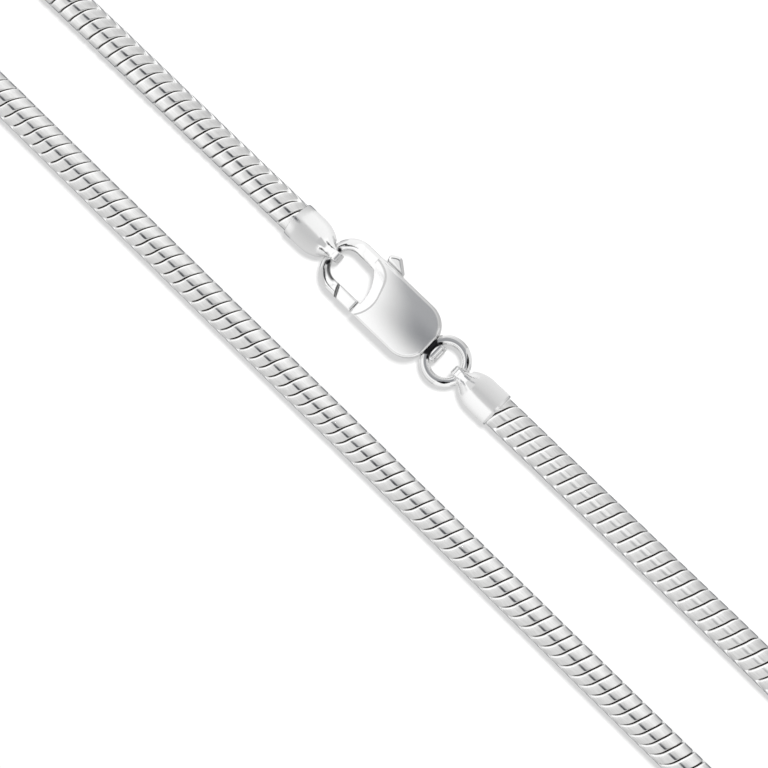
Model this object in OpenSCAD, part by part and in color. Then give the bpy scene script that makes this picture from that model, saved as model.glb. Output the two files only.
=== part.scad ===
// Round snake chain necklace, laid out flat as a closed loop, with end caps, a lobster clasp and a jump ring.
// +X runs along the strands, +Y towards the strand that holds the clasp, +Z is up; the surface it lies on is Z = 0.

/* [Chain] */
// Diameter of the snake chain
chain_d = 3.0; // [2.4:0.1:4.0]

/* [End caps] */
// Space all round between the chain and the socket of its cap
socket_clear = 0.05; // [0.02:0.01:0.15]
// Wall of the cap round the chain
cap_wall = 0.15; // [0.10:0.05:0.40]
// Length of a cap, from the socket's rim to the tip of its loop
cap_len = 5.3; // [4.6:0.1:8.0]
// Depth of the socket that holds the chain
socket_depth = 2.2; // [1.2:0.1:2.6]
// Width of the strap that forms the loop
strap_w = 0.9; // [0.6:0.1:1.4]
// Thickness of the strap
strap_t = 0.35; // [0.25:0.05:0.50]
// Play of a wire in the loop, along the strand
loop_play = 0.10; // [0.05:0.05:0.25]
// Play of a wire in the loop, up and down
loop_rise = 0.15; // [0.05:0.05:0.30]

/* [Clasp] */
// Length of hook and body, without the tail
clasp_len = 12.2; // [11.0:0.1:14.0]
// Width of the clasp
clasp_w = 5.4; // [5.2:0.1:6.0]
// Thickness of the body at the top of its dome
clasp_t = 3.2; // [2.8:0.1:3.3]
// Radius of the outline's corners
corner_r = 2.25; // [1.8:0.05:2.5]
// Crown of the dome across the clasp, as a radius
crown_r = 11; // [8:0.5:20]
// Crown of the dome along the clasp, as a radius
long_crown_r = 40; // [25:1:80]
// Thickness of the hook where it joins the body
hook_t = 1.9; // [1.7:0.1:2.2]
// Thickness of the hook at its far end
hook_tip_t = 1.2; // [1.0:0.1:1.4]
// Width of the hook's wire at its far end
hook_wire = 0.8; // [0.6:0.05:1.0]
// Width of the hook's upper arm
arm_w = 1.3; // [1.0:0.1:1.6]
// Radius of the opening's curved side, on the body
mouth_r = 3.7; // [3.4:0.1:4.0]
// Width of the bevel between the opening and the dome
bevel_w = 0.85; // [0.5:0.05:1.2]
// Width of the tail that holds the jump ring
tail_w = 1.76; // [1.2:0.1:2.4]
// Height of the tail
tail_t = 2.2; // [1.9:0.1:2.3]
// Length of the tail beyond the body
tail_len = 1.27; // [1.0:0.05:1.6]

/* [Lever] */
// Radius from the pivot to the slit at the lever's tip
slit_r = 4.51; // [4.3:0.01:4.8]
// Width of the slit
slit_w = 0.12; // [0.08:0.01:0.20]
// Width of the gate, seen from above
gate_w = 1.15; // [0.9:0.05:1.4]
// Thickness of the gate
gate_t = 1.6; // [1.2:0.1:1.8]
// Thickness of the lever's plate inside the body
plate_t = 0.9; // [0.7:0.05:1.1]
// Thickness of the thumb tab
tab_t = 1.3; // [1.0:0.1:1.6]
// Space on each side of the plate in its slot
slot_clear = 0.05; // [0.03:0.01:0.15]
// Radius of the pivot pin
pin_r = 0.40; // [0.30:0.05:0.55]
// Space all round between the pin and the lever's bore
pin_clear = 0.04; // [0.02:0.01:0.09]

/* [Jump ring] */
// Outer diameter of the jump ring
ring_d = 4.6; // [4.2:0.1:5.4]
// Wire diameter of the jump ring
ring_wire = 0.9; // [0.7:0.05:1.0]
// Space all round the ring in the clasp's tail
ring_clear = 0.12; // [0.05:0.01:0.15]

/* [Hidden] */
SMOOTH = 96;
FINE = 48;
PAST = 0.5;            // how far a cut runs past the face that it opens

// The strand with the clasp lies this far from the loop's middle line, and the other strand as far on the other side.
strand_y = 5.3;
// The chain's line beyond the caps. Columns: x, y
// Out along the strand with the clasp, on the ring's side and mirrored on the hook's side
ROUTE_OUT = [[24, 5.3], [40, 5.3], [56, 5.3]];
// Round a quarter of the loop's end, where the strands part, and the end's tip
ROUTE_BEND = [[65, 6.4], [73.6, 10.3], [81.8, 15.2], [91.6, 15.2], [99.6, 9.4]];
ROUTE_TIP = [102.7, 0];
// Back along the other strand, which leans a little towards the first one on the hook's side
ROUTE_BACK = [
    [56, -5.66], [40, -5.56], [24, -5.45], [8, -5.35],
    [-8, -5.25], [-24, -5.15], [-40, -5.04], [-56, -4.94]
];
TUBE_SIDES = 8;
RINGS_PER_SPAN = 2;

// Heights
chain_r = chain_d / 2;
socket_r = chain_r + socket_clear;
cap_r = socket_r + cap_wall;
axis_z = cap_r;        // the caps rest on the surface, and what they hold shares their axis

// The clasp, from the far end of its hook; its own origin is on the strand's axis
hook_x = -7.75;
end_x = hook_x + clasp_len;
half_w = clasp_w / 2;
pivot = [hook_x + 7.0, -0.15];
bow = [hook_x + 1.55, -1.3];        // centre of the opening's curved side
dome_x = end_x - 4.0;               // where the dome is highest
step_x = hook_x + 3.87;             // where the dome begins on the upper arm
opening_x = hook_x + hook_wire;
opening_top = half_w - arm_w;
opening_bottom = -half_w + gate_w;
opening_r = 1.2;
gate_root_x = hook_x + 5.0;
gate_gap = 0.12;
slot_t = plate_t + 2 * slot_clear;
hub_r = pin_r + pin_clear + 0.7;

// The jump ring, round the tail's eye
ring_r = (ring_d - ring_wire) / 2;
eye_x = end_x;
ring_x = eye_x + ring_r;
channel_r = ring_wire / 2 + ring_clear;

// The caps: each loop holds its wire with the same hole
loop_len = max(hook_wire, ring_wire) + 2 * loop_play;
loop_h = max(hook_tip_t, ring_wire) + 2 * loop_rise;
loop_out_h = loop_h + 2 * strap_t;
loop_corner = 0.2;     // radius of the hole's corners, inside the bend of the strap
cap_hook_tip = opening_x + loop_play + strap_t;
cap_ring_tip = ring_x + ring_r - ring_wire / 2 - loop_play - strap_t;
cap_hook_rim = cap_hook_tip - cap_len;
cap_ring_rim = cap_ring_tip + cap_len;
clasp_shift = -(cap_hook_rim + cap_ring_rim) / 2;   // the two rims lie alike on both sides of the middle
rim_x = (cap_ring_rim - cap_hook_rim) / 2;

// Sections of a cap. Columns: share of its length from the rim, half width and half height as shares
// of its radius, and the exponent of the section's oval: 2 is round, less is pinched to a ridge
CAP_SECTIONS = [
    [0.00, 0.97, 0.97, 2.0],
    [0.02, 1.00, 1.00, 2.0],
    [0.30, 1.00, 1.00, 2.0],
    [0.50, 0.99, 1.00, 1.95],
    [0.56, 0.94, 0.98, 1.85],
    [0.63, 0.76, 0.90, 1.75],
    [0.70, 0.54, 0.76, 1.75],
    [0.76, 0.37, 0.67, 2.2],
    [0.82, 0.265, 0.64, 4.0]
];
CAP_SIDES = 32;

// Points of a smooth curve through b and c, with a before and d after them
function between(a, b, c, d, t) =
    0.5 * (2 * b + (c - a) * t + (2 * a - 5 * b + 4 * c - d) * t * t + (3 * b - a - 3 * c + d) * t * t * t);
function reversed(list) = [for (i = [len(list) - 1 : -1 : 0]) list[i]];
function mirrored(list, sx, sy) = [for (p = list) [p[0] * sx, p[1] * sy]];
function unit(v) = v / norm(v);

// The chain's middle line: out of one cap, round the loop and into the other
tube_end_x = rim_x - socket_depth + 0.2;
tube_mouth_x = rim_x + 0.05;
tube_full_x = rim_x + 0.6;
ends = [[tube_end_x, strand_y], [tube_mouth_x, strand_y], [tube_full_x, strand_y]];
loop_end = concat(ROUTE_BEND, [ROUTE_TIP], reversed(mirrored(ROUTE_BEND, 1, -1)));
route = concat(
    [ends[2]],
    ROUTE_OUT,
    loop_end,
    ROUTE_BACK,
    reversed(mirrored(loop_end, -1, 1)),
    reversed(mirrored(concat([ends[2]], ROUTE_OUT), -1, 1))
);
last = len(route) - 1;
curve = concat(
    [
        for (i = [0 : last - 1])
        for (k = [0 : RINGS_PER_SPAN - 1])
        between(
            i == 0 ? 2 * route[0] - route[1] : route[i - 1],
            route[i],
            route[i + 1],
            i == last - 1 ? 2 * route[last] - route[last - 1] : route[i + 2],
            k / RINGS_PER_SPAN
        )
    ],
    [route[last]]
);
centres = concat([ends[0], ends[1]], curve, mirrored([ends[1], ends[0]], -1, 1));
rings = len(centres);
// The chain lies on the surface and rises to the height of the caps over the last stretch
rise_len = 8;
function lift(p) =
    p[1] < strand_y - 0.01 ? 0 : max(0, 1 - max(0, abs(p[0]) - tube_full_x) / rise_len) * (axis_z - chain_r);
// Inside the socket the tube's corners stay within the chain's own diameter
function corner_r_at(i) = i < 2 || i > rings - 3 ? chain_r : chain_r / cos(180 / TUBE_SIDES);
function heading(i) = unit(centres[min(i + 1, rings - 1)] - centres[max(i - 1, 0)]);

module chain() {
    points = [
        for (i = [0 : rings - 1])
        for (k = [0 : TUBE_SIDES - 1])
        let (
            turn = 360 * (k + 0.5) / TUBE_SIDES,
            h = heading(i),
            out = corner_r_at(i) * cos(turn)
        )
        [
            centres[i][0] - h[1] * out,
            centres[i][1] + h[0] * out,
            chain_r + lift(centres[i]) + corner_r_at(i) * sin(turn)
        ]
    ];
    sides = [
        for (i = [0 : rings - 2])
        for (k = [0 : TUBE_SIDES - 1])
        let (a = i * TUBE_SIDES + k, b = i * TUBE_SIDES + (k + 1) % TUBE_SIDES)
        [a, b, b + TUBE_SIDES, a + TUBE_SIDES]
    ];
    first_face = [for (k = [TUBE_SIDES - 1 : -1 : 0]) k];
    last_face = [for (k = [0 : TUBE_SIDES - 1]) (rings - 1) * TUBE_SIDES + k];
    color("silver") polyhedron(points, concat(sides, [first_face, last_face]));
}

// A point of the oval with half axes w and h, at an angle
function oval(w, h, p, a) = [
    sign(cos(a)) * w * pow(abs(cos(a)), 2 / p),
    sign(sin(a)) * h * pow(abs(sin(a)), 2 / p)
];

// One end cap, its rim at x = 0 and its loop towards +X, on the strand's axis
module end_cap() {
    rows = len(CAP_SECTIONS);
    points = [
        for (s = CAP_SECTIONS)
        for (k = [0 : CAP_SIDES - 1])
        let (p = oval(s[1] * cap_r, s[2] * cap_r, s[3], 360 * k / CAP_SIDES))
        [s[0] * cap_len, p[0], p[1]]
    ];
    sides = [
        for (i = [0 : rows - 2])
        for (k = [0 : CAP_SIDES - 1])
        let (a = i * CAP_SIDES + k, b = i * CAP_SIDES + (k + 1) % CAP_SIDES)
        [a, a + CAP_SIDES, b + CAP_SIDES, b]
    ];
    first_face = [for (k = [0 : CAP_SIDES - 1]) k];
    last_face = [for (k = [CAP_SIDES - 1 : -1 : 0]) (rows - 1) * CAP_SIDES + k];
    hole_x = cap_len - strap_t - loop_len / 2;
    difference() {
        union() {
            polyhedron(points, concat(sides, [first_face, last_face]));
            rotate([90, 0, 0]) linear_extrude(strap_w, center = true) loop_outline(hole_x);
        }
        translate([-PAST, 0, 0]) rotate([0, 90, 0]) cylinder(h = socket_depth + PAST, r = socket_r, $fn = FINE);
        rotate([90, 0, 0]) linear_extrude(4 * cap_r, center = true)
            round_box(hole_x - loop_len / 2, hole_x + loop_len / 2, loop_h / 2, loop_corner);
    }
}

// The strap seen from its side: it leaves the neck and is bent round in a loop
module loop_outline(hole_x) {
    round_box(hole_x - loop_len, hole_x + loop_len / 2 + strap_t, loop_out_h / 2, loop_corner + strap_t);
}

// A box in the plane from x0 to x1, with half height h and round corners
module round_box(x0, x1, h, r) {
    translate([x0 + r, -h]) square([x1 - x0 - 2 * r, 2 * h]);
    translate([x0, -h + r]) square([x1 - x0, 2 * h - 2 * r]);
    for (x = [x0 + r, x1 - r])
    for (y = [-h + r, h - r])
    translate([x, y]) circle(r, $fn = FINE);
}

module cap_hook_side() {
    color("silver") translate([-rim_x, strand_y, axis_z]) end_cap();
}

module cap_ring_side() {
    color("silver") translate([rim_x, strand_y, axis_z]) mirror([1, 0, 0]) end_cap();
}

// From the clasp's own origin to its place on the strand
module on_strand() {
    translate([clasp_shift, strand_y, axis_z]) children();
}

module ring_shape(r) {
    translate([ring_x, 0, 0]) rotate_extrude($fn = SMOOTH) translate([ring_r, 0]) circle(r, $fn = FINE);
}

module jump_ring() {
    color("silver") on_strand() ring_shape(ring_wire / 2);
}

module clasp_outline() {
    round_box(hook_x, end_x, half_w, corner_r);
}

// The eye of the hook: straight along both arms, round at the far end and bowed against the body
module opening() {
    intersection() {
        translate([0, (opening_top + opening_bottom) / 2])
            round_box(opening_x, dome_x, (opening_top - opening_bottom) / 2, opening_r);
        translate(bow) circle(mouth_r, $fn = SMOOTH);
    }
}

// Where the gate stands, with the slit at its tip and a gap at its root
module gate_space() {
    intersection() {
        translate([hook_x, -half_w - PAST]) square([gate_root_x + gate_gap - hook_x, gate_w + PAST + 0.05]);
        translate(pivot) circle(slit_r + slit_w / 2, $fn = SMOOTH);
    }
}

// Where the lever's plate turns inside the body: open to the hook's eye and at the top edge
module slot_space() {
    polygon([
        [step_x, half_w + PAST], [pivot[0] + 1.45, half_w + PAST], [pivot[0] + hub_r + 0.15, pivot[1]],
        [pivot[0] + 0.9, pivot[1] - 1.15], [pivot[0] - 0.8, opening_bottom - 0.7],
        [gate_root_x - 1, opening_bottom - 0.7], [gate_root_x - 1, opening_bottom], [step_x, opening_top]
    ]);
}

// A barrel whose top is the dome: crowned across and along
module dome_barrel() {
    translate([0, 0, clasp_t / 2 - crown_r]) rotate([0, 90, 0]) rotate_extrude($fn = 2 * SMOOTH) intersection() {
        translate([0, step_x]) square([crown_r + PAST, end_x - step_x]);
        translate([crown_r - long_crown_r, dome_x]) circle(long_crown_r, $fn = 4 * SMOOTH);
    }
}

// The body: a cushion with the clasp's outline, bevelled round the opening
module dome() {
    foot = mouth_r + 0.1;
    difference() {
        intersection() {
            linear_extrude(clasp_t + 2 * PAST, center = true) clasp_outline();
            dome_barrel();
            mirror([0, 0, 1]) dome_barrel();
        }
        for (side = [0, 1])
        mirror([0, 0, side]) translate([bow[0], bow[1], hook_t / 2])
            cylinder(h = clasp_t / 2 - hook_t / 2, r1 = foot, r2 = mouth_r + bevel_w, $fn = SMOOTH);
    }
}

// The hook: a flat arm that grows thinner towards its far end, where the cap's loop goes round it
module hook() {
    intersection() {
        linear_extrude(clasp_t, center = true) clasp_outline();
        rotate([90, 0, 0]) linear_extrude(clasp_w + 2 * PAST, center = true) polygon([
            [hook_x - PAST, -hook_tip_t / 2], [opening_x, -hook_tip_t / 2], [step_x, -hook_t / 2],
            [dome_x, -hook_t / 2], [dome_x, hook_t / 2], [step_x, hook_t / 2],
            [opening_x, hook_tip_t / 2], [hook_x - PAST, hook_tip_t / 2]
        ]);
    }
}

// The tail, seen from its side, that carries the jump ring
module tail() {
    rotate([90, 0, 0]) linear_extrude(tail_w, center = true)
        round_box(dome_x, end_x + tail_len, tail_t / 2, tail_t / 2 - 0.05);
}

module clasp_body() {
    color("silver") on_strand() {
        difference() {
            union() {
                dome();
                hook();
                tail();
            }
            linear_extrude(2 * clasp_t, center = true) opening();
            linear_extrude(2 * clasp_t, center = true) gate_space();
            linear_extrude(slot_t, center = true) slot_space();
            ring_shape(channel_r);
        }
        translate([pivot[0], pivot[1], 0]) cylinder(h = slot_t + 0.4, r = pin_r, center = true, $fn = FINE);
    }
}

// The part of the lever inside the body: hub, arm to the gate and arm to the tab
module plate_outline() {
    translate(pivot) circle(hub_r, $fn = SMOOTH);
    polygon([
        [gate_root_x - 0.4, opening_bottom - 0.2], [gate_root_x - 0.4, opening_bottom - 0.65],
        [pivot[0] - 1.4, opening_bottom - 0.5], [pivot[0] + 0.3, pivot[1] - hub_r + 0.05],
        pivot, [pivot[0] - hub_r + 0.05, pivot[1] - 0.2]
    ]);
    polygon([
        [pivot[0] - hub_r + 0.05, pivot[1] - 0.2], pivot, [pivot[0] + hub_r - 0.15, pivot[1] + 0.5],
        [pivot[0] - 0.85, half_w + 0.2], [pivot[0] - 2.65, half_w + 0.2]
    ]);
}

// The gate that closes the hook, cut to an arc about the pivot at its tip
module gate_outline() {
    intersection() {
        translate([hook_x, -half_w]) square([gate_root_x - hook_x, gate_w]);
        translate(pivot) circle(slit_r - slit_w / 2, $fn = SMOOTH);
    }
}

// The thumb tab: a small hump that leans towards the hook
module tab_outline() {
    hull() {
        translate([pivot[0] - 2.0, half_w + 0.72]) circle(0.40, $fn = 32);
        translate([pivot[0] - 2.42, half_w + 0.50]) circle(0.38, $fn = 32);
        translate([pivot[0] - 0.80, half_w + 0.30]) circle(0.12, $fn = 32);
    }
}

module clasp_lever() {
    color("silver") on_strand() difference() {
        union() {
            linear_extrude(plate_t, center = true) plate_outline();
            linear_extrude(gate_t, center = true) gate_outline();
            linear_extrude(tab_t, center = true) tab_outline();
        }
        translate([pivot[0], pivot[1], 0]) cylinder(h = gate_t, r = pin_r + pin_clear, center = true, $fn = FINE);
    }
}

chain();
cap_hook_side();
cap_ring_side();
jump_ring();
clasp_body();
clasp_lever();
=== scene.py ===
# %% [markdown]
# A round snake chain necklace in Blender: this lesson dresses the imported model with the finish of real
# silver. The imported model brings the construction: where the caps, the clasp, its lever and the jump
# ring are, and how the lever turns. Here each of them gets the softened edges, the grooves and the
# metal that the eye looks for. Every length in the functions is in millimetres, and it is turned into
# metres where a mesh is made.

import bpy
import numpy as np
from mathutils import Matrix, Vector


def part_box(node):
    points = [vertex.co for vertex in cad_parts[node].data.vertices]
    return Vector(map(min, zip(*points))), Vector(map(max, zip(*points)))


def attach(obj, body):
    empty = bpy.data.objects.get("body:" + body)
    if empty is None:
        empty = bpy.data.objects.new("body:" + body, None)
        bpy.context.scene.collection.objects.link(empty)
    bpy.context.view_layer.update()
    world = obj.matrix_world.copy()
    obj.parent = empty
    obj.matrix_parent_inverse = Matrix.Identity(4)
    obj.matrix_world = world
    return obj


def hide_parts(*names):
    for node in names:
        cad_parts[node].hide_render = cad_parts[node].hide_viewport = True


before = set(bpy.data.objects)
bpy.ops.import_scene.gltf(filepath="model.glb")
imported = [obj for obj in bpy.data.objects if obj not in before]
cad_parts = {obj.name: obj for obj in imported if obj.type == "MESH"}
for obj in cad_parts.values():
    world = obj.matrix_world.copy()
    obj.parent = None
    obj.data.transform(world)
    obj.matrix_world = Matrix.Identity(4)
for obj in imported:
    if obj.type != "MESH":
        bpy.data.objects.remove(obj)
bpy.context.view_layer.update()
MM = 0.001
print("the packed model holds", sorted(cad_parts))

# %% [markdown]
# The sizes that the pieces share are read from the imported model's boxes, so a piece can't drift away
# from what it stands for. The others are the named sizes of the construction, written once.


# %% Sizes
def box_mm(node):
    """A node's lowest and highest corner, in millimetres."""
    return [np.array(corner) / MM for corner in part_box(node)]


body_low, body_high = box_mm("clasp_body")
ring_low, ring_high = box_mm("jump_ring")
cap_low, cap_high = box_mm("cap_hook_side")

strand_y = (body_low[1] + body_high[1]) / 2
cap_r = (cap_high[2] - cap_low[2]) / 2
cap_len = cap_high[0] - cap_low[0]
rim_x = box_mm("cap_ring_side")[1][0]
cap_tip_x = rim_x - cap_len
axis_z = cap_r
chain_r = 1.5
socket_r = 1.55
socket_depth = 2.2
# How far the back strand leans towards -Y, in millimetres a millimetre
back_lean = 0.0064
print("the caps are", round(cap_len, 2), "mm long, and their rims lie at x", round(rim_x, 2), "mm")

# %% [markdown]
# The camera looks down on the necklace from almost straight above, as the photograph does, leaning a
# little towards the jump ring and the far side. It is turned so that the strands run down the picture's
# diagonal.

# %% Camera
camera_distance = 150.0
camera_target = np.array([3.40, 0.13, chain_r])
camera_lean = np.radians([4.4, 3.0])
camera_roll = np.radians(-43.87)
frame_width = 67.1
sensor_width = 36.0
nearest_seen = 1.0


def camera_axes():
    """The camera's right, up and backward directions: forward leans by two angles, up follows the roll."""
    side = -np.sin(camera_lean)
    forward = np.array([side[0], side[1], -np.sqrt(1 - side @ side)])
    up_guess = np.array([np.sin(camera_roll), np.cos(camera_roll), 0.0])
    right = np.cross(forward, up_guess)
    right /= np.linalg.norm(right)
    return right, np.cross(right, forward), -forward


camera_right, camera_up, camera_back = camera_axes()
camera_place = camera_target + camera_back * camera_distance
camera_data = bpy.data.cameras.new("camera")
camera_data.sensor_width = sensor_width
camera_data.lens = sensor_width * camera_distance / frame_width
camera_data.clip_start = nearest_seen * MM
camera = bpy.data.objects.new("camera", camera_data)
camera.matrix_world = Matrix.Translation(Vector(camera_place * MM)) @ Matrix(
    [[r, u, b] for r, u, b in zip(camera_right, camera_up, camera_back)]
).to_4x4()
bpy.context.collection.objects.link(camera)
bpy.context.scene.camera = camera
print("the camera's lens is", round(camera_data.lens, 1), "mm")

# %% [markdown]
# Every piece, and every card that it mirrors, is a mesh made from whole arrays: its points, its faces
# and values on its points, which a material reads later, such as whether a point lies in a groove.

# %% Meshes from arrays
def new_object(name, points, quads, triangles=None, values=None):
    """Makes a smooth mesh from points in millimetres, quads, triangles and named values on the points."""
    mesh = bpy.data.meshes.new(name)
    triangles = np.zeros((0, 3), int) if triangles is None else triangles
    corners = np.concatenate([quads.ravel(), triangles.ravel()])
    sizes = np.concatenate([np.full(len(quads), 4), np.full(len(triangles), 3)])
    starts = np.concatenate([[0], np.cumsum(sizes)[:-1]])
    mesh.vertices.add(len(points))
    mesh.vertices.foreach_set("co", (np.asarray(points) * MM).astype(np.float32).ravel())
    mesh.loops.add(len(corners))
    mesh.loops.foreach_set("vertex_index", corners.astype(np.int32))
    mesh.polygons.add(len(sizes))
    mesh.polygons.foreach_set("loop_start", starts.astype(np.int32))
    mesh.polygons.foreach_set("loop_total", sizes.astype(np.int32))
    mesh.polygons.foreach_set("use_smooth", np.ones(len(sizes), bool))
    mesh.update(calc_edges=True)
    for key, numbers in (values or {}).items():
        on_points = mesh.attributes.new(key, "FLOAT", "POINT")
        on_points.data.foreach_set("value", numbers.astype(np.float32).ravel())
    thing = bpy.data.objects.new(name, mesh)
    bpy.context.collection.objects.link(thing)
    return thing


def sheet_quads(rows, columns):
    """The quads of a sheet whose points are stored row by row."""
    corner = np.arange(rows - 1)[:, None] * columns + np.arange(columns - 1)
    return np.stack([corner, corner + 1, corner + columns + 1, corner + columns], -1).reshape(-1, 4)


print("a sheet with 3 rows of 4 points has", len(sheet_quads(3, 4)), "quads")


# %% [markdown]
# Polished silver has hardly a colour of its own: it shows the room. So the room is made with care. The
# floor is white, and a lamp high above the far side throws the short shadows. Neither is mirrored, so
# that what the silver shows can be drawn apart from them.

# %% Floor and lamp
FLOOR = 3000.0
FLOOR_GREY = 0.32
FLOOR_GLOW = 0.47
floor_corners = [(-FLOOR, -FLOOR, 0), (FLOOR, -FLOOR, 0), (FLOOR, FLOOR, 0), (-FLOOR, FLOOR, 0)]
floor = new_object("floor", floor_corners, np.array([[0, 1, 2, 3]]))
floor_material = bpy.data.materials.new("white_floor")
floor_material.use_nodes = True
floor_shader = floor_material.node_tree.nodes["Principled BSDF"]
floor_shader.inputs["Base Color"].default_value = (FLOOR_GREY, FLOOR_GREY, FLOOR_GREY, 1)
floor_shader.inputs["Emission Color"].default_value = (1, 1, 1, 1)
floor_shader.inputs["Emission Strength"].default_value = FLOOR_GLOW
floor_shader.inputs["Roughness"].default_value = 1.0
floor_shader.inputs["Specular IOR Level"].default_value = 0.0
floor.data.materials.append(floor_material)
floor.visible_glossy = False

lamp_from = np.array([5.0, 50.0, 170.0])
lamp_width = 36.0
lamp_power = 0.46
lamp_data = bpy.data.lights.new("key_light", "AREA")
lamp_data.shape = "DISK"
lamp_data.size = lamp_width * MM
lamp_data.energy = lamp_power
lamp = bpy.data.objects.new("key_light", lamp_data)
lamp.location = Vector((camera_target + lamp_from) * MM)
lamp.rotation_mode = "QUATERNION"
lamp.rotation_quaternion = Vector(-lamp_from).to_track_quat("-Z", "Y")
lamp.visible_glossy = False
bpy.context.collection.objects.link(lamp)
print("the lamp is", lamp_width, "mm wide and hangs", round(lamp.location.z / MM), "mm above the floor")

# %% [markdown]
# The sky is an even grey that grows brighter towards the hook's side. What lies below the horizon
# stands for the white table that the silver mirrors, and it is brightest on the hook's side too.

# %% Sky
SKY = 0.74
SKY_LEAN = (-0.15, -0.06, 0.0)
TABLE_BRIGHT, TABLE_DIM = 1.25, 0.55
BRIGHT_TABLE_X = -0.9
HORIZON = 0.05
world = bpy.data.worlds.new("room")
bpy.context.scene.world = world
world.use_nodes = True
sky_nodes, sky_links = world.node_tree.nodes, world.node_tree.links


def sky_ramp(value, start, end, look_start=0.0, look_end=1.0):
    """Goes evenly from look_start to look_end while the value goes from start to end."""
    node = sky_nodes.new("ShaderNodeMapRange")
    sky_links.new(value, node.inputs["Value"])
    node.inputs["From Min"].default_value = start
    node.inputs["From Max"].default_value = end
    node.inputs["To Min"].default_value = look_start
    node.inputs["To Max"].default_value = look_end
    return node.outputs["Result"]


way = sky_nodes.new("ShaderNodeTexCoord").outputs["Generated"]
parts = sky_nodes.new("ShaderNodeSeparateXYZ")
sky_links.new(way, parts.inputs[0])
lean = sky_nodes.new("ShaderNodeVectorMath")
lean.operation = "DOT_PRODUCT"
sky_links.new(way, lean.inputs[0])
lean.inputs[1].default_value = SKY_LEAN
above = sky_nodes.new("ShaderNodeMath")
sky_links.new(lean.outputs["Value"], above.inputs[0])
above.inputs[1].default_value = SKY
table = sky_ramp(parts.outputs["X"], BRIGHT_TABLE_X, 0.0, TABLE_BRIGHT, TABLE_DIM)
horizon = sky_ramp(parts.outputs["Z"], -HORIZON, HORIZON)
sky = sky_nodes.new("ShaderNodeMix")
sky_links.new(horizon, sky.inputs["Factor"])
sky_links.new(table, sky.inputs["A"])
sky_links.new(above.outputs["Value"], sky.inputs["B"])
sky_nodes["Background"].inputs["Color"].default_value = (1, 1, 1, 1)
sky_links.new(sky.outputs["Result"], sky_nodes["Background"].inputs["Strength"])
bpy.context.scene.view_settings.view_transform = "Standard"
print("the sky's strength is", SKY, "and the table's goes from", TABLE_DIM, "to", TABLE_BRIGHT)

# %% [markdown]
# What the silver mirrors is drawn with cards, as a photographer hangs white and black paper round a
# piece of jewellery. It could be painted on the metal, but then it wouldn't slide over it as the view
# turns. Only reflections see the cards, so they throw no shadow and hide nothing. Their light is drawn
# on their points and runs softly from one to the next. It is given as the brightness that the silver
# should have.

# %% Cards
# The share of light that silver gives back, and the power that turns a picture's brightness into light
SHINE = 0.88
GAMMA = 2.2
# A dim card is a little blue, and from the brightness TINT_ENDS on it is white
CARD_TINT = (0.80, 0.84, 0.93, 1)
TINT_ENDS = 0.65
card_light = bpy.data.materials.new("card_light")
card_light.use_nodes = True
card_light.cycles.emission_sampling = "NONE"
card_nodes = card_light.node_tree.nodes
card_nodes.clear()
card_glow = card_nodes.new("ShaderNodeEmission")
card_value = card_nodes.new("ShaderNodeAttribute")
card_value.attribute_name = "glow"
card_light.node_tree.links.new(card_value.outputs["Fac"], card_glow.inputs["Strength"])
card_tint = card_nodes.new("ShaderNodeValToRGB")
card_tint.color_ramp.elements[0].color = CARD_TINT
card_tint.color_ramp.elements[1].position = TINT_ENDS
card_tint.color_ramp.elements[1].color = (1, 1, 1, 1)
card_light.node_tree.links.new(card_value.outputs["Fac"], card_tint.inputs[0])
card_light.node_tree.links.new(card_tint.outputs["Color"], card_glow.inputs["Color"])
card_out = card_nodes.new("ShaderNodeOutputMaterial")
card_light.node_tree.links.new(card_glow.outputs[0], card_out.inputs["Surface"])


def reflected_card(name, points, rows, columns, looks):
    """A sheet of light that only reflections see. looks: how bright silver is that mirrors each point."""
    glow = np.asarray(looks, float) ** GAMMA / SHINE
    card = new_object(name, points, sheet_quads(rows, columns), None, {"glow": glow})
    card.data.materials.append(card_light)
    card.visible_camera = False
    card.visible_diffuse = False
    card.visible_shadow = False
    card.visible_transmission = False
    card.visible_volume_scatter = False
    return card


def small_card(name, corners, look):
    """A flat card from its four corners, in order round it."""
    points = np.array(corners, float)[[0, 1, 3, 2]]
    return reflected_card(name, points, 2, 2, np.full(4, look))


print("a card that should look 0.5 bright shines with a strength of", round(0.5**GAMMA / SHINE, 2))


# %% [markdown]
# A strand mirrors a whole tube of the room. So its light is a sleeve round it, which is drawn
# backwards: a table says how bright each place round the chain should look, and the sleeve gets that
# light where it is mirrored.

# %% Sleeves
SLEEVE_R = 5.0
SLEEVE_END = 84


def sleeve_of_light(name, x0, x1, strand, looks):
    """A tube of light round a strand. For each place round the chain, the camera's ray is mirrored
    there, and where it meets the tube, the tube gets the brightness that this place should show."""
    place = np.arange(-SLEEVE_END, SLEEVE_END + 1, 2)
    seen = np.interp(place, looks[:, 0], looks[:, 1])
    turn = np.radians(place)
    rows = []
    for x in (x0, x1):
        sight = np.arctan2(camera_place[1] - strand(x), camera_place[2] - chain_r)
        ray = 2 * turn - sight
        start = chain_r * np.stack([np.sin(turn), np.cos(turn)])
        heading = np.stack([np.sin(ray), np.cos(ray)])
        nearest = (start * heading).sum(0)
        reach = -nearest + np.sqrt(nearest**2 + SLEEVE_R**2 - chain_r**2)
        meet = start + reach * heading
        rows.append(np.stack([np.full(place.size, x), strand(x) + meet[0], chain_r + meet[1]], -1))
    return reflected_card(name, np.concatenate(rows), 2, place.size, np.tile(seen, 2))


def front_strand(x):
    """The strand with the clasp lies along X."""
    return strand_y


def back_strand(x):
    """The other strand leans a little, because the two aren't quite parallel."""
    return -strand_y - back_lean * x


print("the strands lie", round(front_strand(0.0) - back_strand(0.0), 2), "mm apart beside the clasp")


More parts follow.
